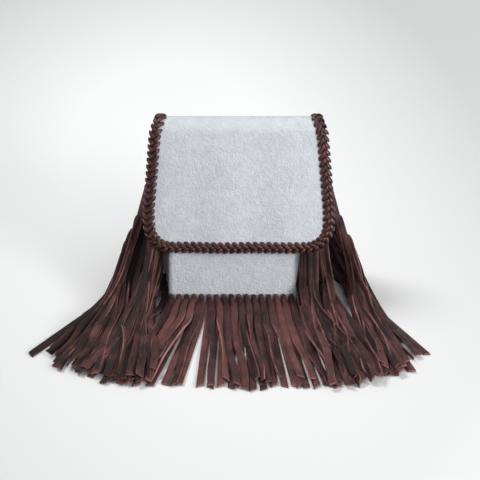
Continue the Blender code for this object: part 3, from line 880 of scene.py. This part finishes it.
def draw_strip(bm, path, headings, slant, habit, root_width=STRIP_ROOT_WIDTH, shade=0.0, roll=STRIP_ROLL):
    """Adds one strip along a path. habit is a random source for its twist and its tone, and shade lowers that
    tone as painted shade.
    """
    fine = smooth_path(path)
    turns = [p[0] for p in smooth_path([np.array([h, 0.0, 0.0]) for h in headings])]
    last = len(fine) - 1
    run = run_along(fine)
    roll_from, roll_speed = habit.uniform(0, 6.28), habit.uniform(*ROLL_SPEED)
    arch = habit.choice((-1, 1, 1)) * STRIP_ARCH
    hang = hanging(fine, run)
    # the strip's random tone, lowered by shade as painted shade
    tone = habit.uniform(0, 1) - shade
    layer = bm.verts.layers.float.get("tone") or bm.verts.layers.float.new("tone")

    def place(across, k):
        ahead = (fine[min(k + 1, last)] - fine[max(k - 1, 0)]).normalized()
        aside = Vector((math.cos(turns[k]), math.sin(turns[k]), 0))
        aside = (aside - ahead * aside.dot(ahead)).normalized()
        up = aside.cross(ahead) * -1
        free = ease((run[k] - ROLL_FROM * hang) / LOOSENS)
        turn = roll * free * math.sin(roll_from + roll_speed * run[k] / MM)
        aside, up = (aside * math.cos(turn) + up * math.sin(turn),
                     up * math.cos(turn) - aside * math.sin(turn))
        pulled = 1 - ease(run[k] / PULLED)
        half = (STRIP_DRAWN + (root_width - STRIP_DRAWN) * pulled) / 2
        bow = arch + (HOLE_BOW * pulled if root_width < STRIP_ROOT_WIDTH else 0)
        point = fine[k] + aside * across * half + up * bow * (0.5 - across * across)
        point.z += ROLL_LIFT * half * abs(math.sin(turn))
        tip = max(0.0, 1 - (last - k) / TIP_ROWS)
        return point + ahead * slant * across * tip

    # front strips start further along the UV, so their roots get less painted shade
    start = FRONT_START if root_width < STRIP_ROOT_WIDTH else 0
    verts = bent_grid(bm, list(range(last + 1)), 4, place, STRIP_DRAWN, [start + at for at in run])
    for vert in verts:
        vert[layer] = tone
    return run[-1]


def strip_piece(name, node, path, headings, slant, habit, root_width=STRIP_ROOT_WIDTH, shade=0.0):
    bm = bmesh.new()
    length = draw_strip(bm, path, headings, slant, habit, root_width, shade)
    bmesh.ops.recalc_face_normals(bm, faces=bm.faces)
    obj = thicken(new_piece(name, bm, [fringe_leather, fringe_edge_and_highlight]), STRIP_THICK)
    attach(obj, "bag")
    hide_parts(node)
    return obj, length


# %% [markdown]
# Each strip of the front fringe is pulled through a hole near the foot of the panel, so it starts with a
# small round bight that stands off the suede.

# %% Front fringe
FRONT_PITCH = 6.35 * MM
FRONT_FRINGE_LENGTH = 124 * MM
FRONT_FRINGE_UP = 9.5 * MM
FRONT_TURN = 50 * MM
LENGTH_SPREAD = 3 * MM
FRONT_FANS = ((5, -20, -9), (14, -3, 12))  # how many strips, and the headings of the first and the last
BIGHT = ((3.2, 0), (4.3, 1.6), (2.8, 3.1), (-1.5, 2.3))  # mm up the panel from a root, and mm off it
DRAWN_BIGHT = ((-0.6, 0), (0.5, 1.3), (-0.6, 2.6), (-3.4, 2.5))  # tighter than in the solid, and lower

draw = random.Random(7)
habit = random.Random(11)
ground = Ground()
front_strips, bights, laid = [], [], []
count = sum(fan[0] for fan in FRONT_FANS)
out = SUEDE / 2 + SEAT + STRIP_THICK / 2
up = up_front(FRONT_FRINGE_UP, out)
for size, first, last in FRONT_FANS:
    for k in range(size):
        x = (len(bights) - (count - 1) / 2) * FRONT_PITCH
        turn = math.radians(first + (last - first) * k / (size - 1))
        length = FRONT_FRINGE_LENGTH + draw.uniform(-1, 1) * LENGTH_SPREAD
        path, headings = lay_strip(
            ground, front_at(x, up, out), lambda s, turn=turn: turn * ease(s / FRONT_TURN),
            length, FRONT_LEAN - math.pi / 2)
        bight, loop = ([np.array(front_at(x, up + rise * MM, out + off * MM)) for rise, off in shape]
                       for shape in (BIGHT, DRAWN_BIGHT))
        bights.append(bight)
        slant = draw.uniform(-1, 1) * TIP_SLANT
        strip, length = strip_piece(f"front_strip_{len(bights):02d}", f"front_fringe_{len(bights):02d}",
                                    loop + path[1:], headings[:1] * (len(loop) - 1) + headings, slant, habit,
                                    HOLE_WIDTH)
        front_strips.append(strip)
        laid.append((loop[2:] + path[1:], headings[:1] + headings))
for bight in bights:
    ground.cover_bight(bight)
print(len(front_strips), "strips at the front")

# %% [markdown]
# The side strips are rooted in two rows on each side: an inner one beside the gusset and an outer one in
# front of the back panel's laced edge. On the right two more start on the front panel, under the flap.

# %% Side fringes
SIDE_HANG = math.radians(-70)
SIDE_TURN = 45 * MM
TURN_FROM = 0.6  # the share of its hanging part after which a strip turns
GOLDEN = 0.618  # steps of this share never bring two neighbours to one heading
FIRST_SHARE = 0.98
INNER_SLACK = 0.4 * MM
OUTER_INSET = 3.5 * MM
# Rows of strips: where they are rooted, how many, height of the lowest and steps upwards, the heading while a
# strip hangs and the range of the headings it lies at, in degrees outwards, and its length
LEFT_FRINGE = (
    ("gusset", 7, 20 * MM, 13 * MM, 16, -4, 21, 158 * MM),
    ("back", 8, 18 * MM, 13 * MM, 42, 2, 35, 170 * MM),
)
RIGHT_FRINGE = (
    ("gusset", 5, 20 * MM, 16 * MM, 16, 2, 22, 156 * MM),
    ("front", 2, 62 * MM, 8 * MM, 4, 20, 27, 168 * MM),
    ("back", 8, 18 * MM, 13 * MM, 42, 2, 29, 163 * MM),
)
FACE_ROOT = 52.5 * MM
SIDE_PAINTED_SHADE = 0.4  # the strips at the sides are painted darker, as painted shade on the bunches at the sides
FACE_DRIFT = 6.5 * MM  # those at the front are drawn this much nearer the panel's edge
DRIFT_STEPS = 7  # and come back to their solids' way over this many steps


def side_root(kind, side, k, z, out):
    """Where a side strip starts, at a height z. out is the heading in which it hangs."""
    if kind == "gusset":
        middle = (front_half(z) - GUSSET_INSET + back_half(z) - SEAM_INSET) / 2
        beside = SUEDE / 2 + SEAT + INNER_SLACK + STRIP_ROOT_WIDTH / 2
        return side * (middle + beside), (front_at(0, up_front(z)).y + BACK_Y) / 2, z
    if kind == "front":
        off = SUEDE / 2 + SEAT + STRIP_THICK / 2
        return front_at(side * (FACE_ROOT + (k - 0.5) * FRONT_PITCH), up_front(z, off), off)
    behind = (STRIP_ROOT_WIDTH * math.sin(out) + STRIP_THICK * math.cos(out)) / 2
    return side * (back_half(z) - OUTER_INSET), BACK_Y - LACE_THICK / 2 - SEAT - behind, z


def side_walk(kind, side, k, z, outwards, turn, length):
    out, turn = math.radians(outwards), math.radians(turn)
    steepest = FRONT_LEAN - math.pi / 2 if kind == "front" else SIDE_HANG
    hang = z / abs(math.sin(steepest))
    return lay_strip(ground, side_root(kind, side, k, z, out),
                     lambda s: side * (out + (turn - out) * ease((s - TURN_FROM * hang) / SIDE_TURN)),
                     length, steepest)


def side_strips(side, name, rows):
    made, walks = [], []
    for kind, count, lowest, pitch, outwards, least, most, full in rows:
        for k in range(count):
            z = lowest + k * pitch
            turn = least + (most - least) * ((FIRST_SHARE + k * GOLDEN) % 1)
            length = full + draw.uniform(-1, 1) * LENGTH_SPREAD
            path, headings = side_walk(kind, side, k, z, outwards, turn, length)
            if kind == "front":
                drifts = [side * FACE_DRIFT * (1 - ease(j / DRIFT_STEPS)) for j in range(len(path))]
                path = [point + np.array([drift, 0, 0]) for point, drift in zip(path, drifts)]
            slant = draw.uniform(-1, 1) * TIP_SLANT
            number = len(made) + 1
            strip, length = strip_piece(f"{name}_strip_{number:02d}", f"{name}_fringe_{number:02d}",
                                        path, headings, slant, habit, shade=SIDE_PAINTED_SHADE)
            made.append(strip)
            walks.append((path, headings))
    return made, walks


left_strips, left_laid = side_strips(-1, "left", LEFT_FRINGE)
right_strips, right_laid = side_strips(1, "right", RIGHT_FRINGE)
print(len(left_strips) + len(right_strips), "strips at the sides")

# %% [markdown]
# Each hole holds a thong folded in two, so a second tail lies over the first. The solids have one tail for
# each hole, and the second tails are drawn here only, many in one piece. Each follows a first tail, drifts
# to one side of it, waves a little and is raised on to what lies there. Many turn up on one edge. Some go
# half-way between two neighbours, from the front's outermost strips to the lowest at the side, or over the
# corner, so that the bunches are as full as the real ones.

# %% Second tails
TAIL_STEEP = math.radians(30)  # a tail that is less steep than this lies on others
TAIL_RISE = 0.45  # the most that it rises for each step along
TAIL_HUMP = 0.4 * MM  # the most that a point lies below the line between its neighbours
TAIL_EXTRA = 9  # steps that a tail may go on past the first one's tip
TAIL_OVER = 1.7 * MM  # how far ahead of the first tail it starts, so that it lies over it
WAVE_LONG = 13 * MM  # along a tail, for each radian of its wave
LOOSE_FROM = 0.7  # the share of the hanging part after which it may wave


FAN_X = (-160, -158, -140, -110, -70, 0, 70, 107, 130, 146, 148)  # mm, a little wider on the left
FAN_Y = (0, -98, -120, -137, -145, -149, -146, -140, -126, -108, 0)


def fringe_line(x):
    """How far forward the tips reach."""
    return MM * float(np.interp(x / MM, FAN_X, FAN_Y))


def second_path(path, headings, turn, aside, wave, phase, short):
    """A path beside a first tail's: aside at its root and more so later, waved, raised on the others, and as
    long as it has to be to end this much short of the fringe's front line."""
    steps = [b - a for a, b in zip(path, path[1:])]
    steps += [np.array([0, -STRIP_STEP, 0])] * TAIL_EXTRA
    headings = headings + headings[-1:] * TAIL_EXTRA
    points, ways = [np.array(path[0])], [headings[0]]
    run = 0.0
    runs = np.concatenate([[0], np.cumsum([np.linalg.norm(step) for step in steps])])
    hang = hanging(path, runs)
    for k, step in enumerate(steps):
        length = float(np.linalg.norm(step))
        run += length
        loose = ease((run - LOOSE_FROM * hang) / LOOSENS)
        heading = headings[k + 1] + loose * (turn + wave * math.sin(phase + run / WAVE_LONG))
        level = math.hypot(step[0], step[1])
        points.append(points[-1] + np.array([math.sin(heading) * level, -math.cos(heading) * level, step[2]]))
        ways.append(heading)
        if points[-1][1] < fringe_line(points[-1][0]) + short:
            break
    placed = []
    for k, (point, way) in enumerate(zip(points, ways)):
        side = np.array([math.cos(way), math.sin(way), 0.0])
        over = np.array([math.sin(way), -math.cos(way), 0.3]) * TAIL_OVER * ease(k / 2)
        spot = point + side * aside * ease(k / 3) + over
        fall = points[k] - points[k - 1] if k else points[1] - points[0]
        if abs(math.asin(fall[2] / np.linalg.norm(fall))) < TAIL_STEEP:
            across = spot + np.linspace(-0.4, 0.4, 7)[:, None] * STRIP_WIDTH * side
            spot[2] = max(spot[2], float(np.median(ground.top[ground.cells(across)])) + STRIP_THICK)
        placed.append(spot)
    for k in range(len(placed) - 1, 0, -1):
        reach = float(np.linalg.norm(placed[k][:2] - placed[k - 1][:2]))
        placed[k - 1][2] = max(placed[k - 1][2], placed[k][2] - TAIL_RISE * reach)
    for _ in range(3):
        for a, b, c in zip(placed, placed[1:], placed[2:]):
            b[2] = max(b[2], (a[2] + c[2]) / 2 - TAIL_HUMP)
    return placed, ways


ROW_PITCH = 30 * MM  # neighbours in one row are nearer to each other than this
TAIL_WAVE = (2, 7)  # degrees
TAIL_SHORT = 12 * MM  # the most that a tail ends short of the fringe's front line
TAIL_ROLL, EDGE_ROLL = 20, 65  # degrees, for a tail that lies flat and one that turns up on its edge


def mixed_way(first, second, share):
    """A way between two others, at this share from the first to the second."""
    size = min(len(first[0]), len(second[0]))
    return tuple([a + (b - a) * share for a, b in zip(one[:size], other[:size])]
                 for one, other in zip(first, second))


def between(walks):
    """The ways half-way between neighbours in a row."""
    return [mixed_way(first, second, 0.5) for first, second in zip(walks, walks[1:])
            if np.linalg.norm(first[0][0] - second[0][0]) < ROW_PITCH]


def second_tails(name, firsts, turns, aside, edge_share, root_width=STRIP_ROOT_WIDTH, shade=SIDE_PAINTED_SHADE):
    """One piece with a second tail for each of these ways. turns gives the range of a tail's turn in degrees,
    and the side that it drifts to (0 for either), and edge_share how many turn up on one edge."""
    bm = bmesh.new()
    for k, (path, headings) in enumerate(firsts):
        low, high, side = turns(k)
        placed, ways = second_path(
            path, headings, math.radians(habit.uniform(low, high)),
            habit.uniform(*aside) * (side or habit.choice((-1, 1))),
            math.radians(habit.uniform(*TAIL_WAVE)), habit.uniform(0, 6.28), habit.uniform(0, 1) * TAIL_SHORT)
        roll = math.radians(EDGE_ROLL if habit.random() < edge_share else TAIL_ROLL)
        draw_strip(bm, placed, ways, habit.uniform(-1, 1) * TIP_SLANT, habit, root_width, shade, roll)
        for at in (path, placed):
            for point in at:
                ground.cover(point + np.array([[0, 0, STRIP_THICK / 2]]))
    bmesh.ops.recalc_face_normals(bm, faces=bm.faces)
    obj = thicken(new_piece(name, bm, [fringe_leather, fringe_edge_and_highlight]), STRIP_THICK)
    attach(obj, "bag")
    return obj


# %% Draw the second tails
NEAR = (0, 2 * MM)  # how far to one side a tail may drift
BESIDE = (1.5 * MM, 4 * MM)
NEXT_HOLE = (2.4 * MM, 3.4 * MM)
shares = (0.25, 0.5, 0.75)  # ways from the front's outermost strip to the lowest one at the side
left_ways = between(left_laid) + [mixed_way(laid[0], left_laid[0], share) for share in shares]
right_ways = between(right_laid) + [mixed_way(laid[-1], right_laid[0], share) for share in shares]
left_between = second_tails("left_between_tails", left_ways, lambda k: (-1, 6, 0), NEAR, 0.25)
right_between = second_tails("right_between_tails", right_ways, lambda k: (-6, 1, 0), NEAR, 0.25)
left_second = second_tails("left_second_tails", left_laid, lambda k: (-3, 8, 1), BESIDE, 0.35)
right_second = second_tails("right_second_tails", right_laid, lambda k: (-8, 4, -1), BESIDE, 0.35)
left_corner = second_tails("left_corner_tails", left_laid[3:7] * 2, lambda k: (-10, 7, 0), NEAR, 0.3)
right_corner = second_tails("right_corner_tails", right_laid[2:7] * 2, lambda k: (-20, 2, 0), NEAR, 0.3)
first_fan = FRONT_FANS[0][0]
front_second = second_tails("front_second_tails", laid, lambda k: (-9, 0, -1) if k < first_fan else (0, 7, 1),
                            NEXT_HOLE, 0.45, HOLE_WIDTH, 0)
inside = [mixed_way(left_laid[5], left_laid[12], share) for share in (0.4, 0.7)]
left_inside = second_tails("left_inside_tails", inside, lambda k: (-2, 1, 0), NEAR, 0)

# %% [markdown]
# ## Bringing the scene up to date
# A panel can't be larger or smaller than the piece of suede that it was cut from. The flat areas of the folded
# sheet and the front panel are worked out where they are made, and here the scene is brought up to date.

# %% Finish
bpy.context.view_layer.update()
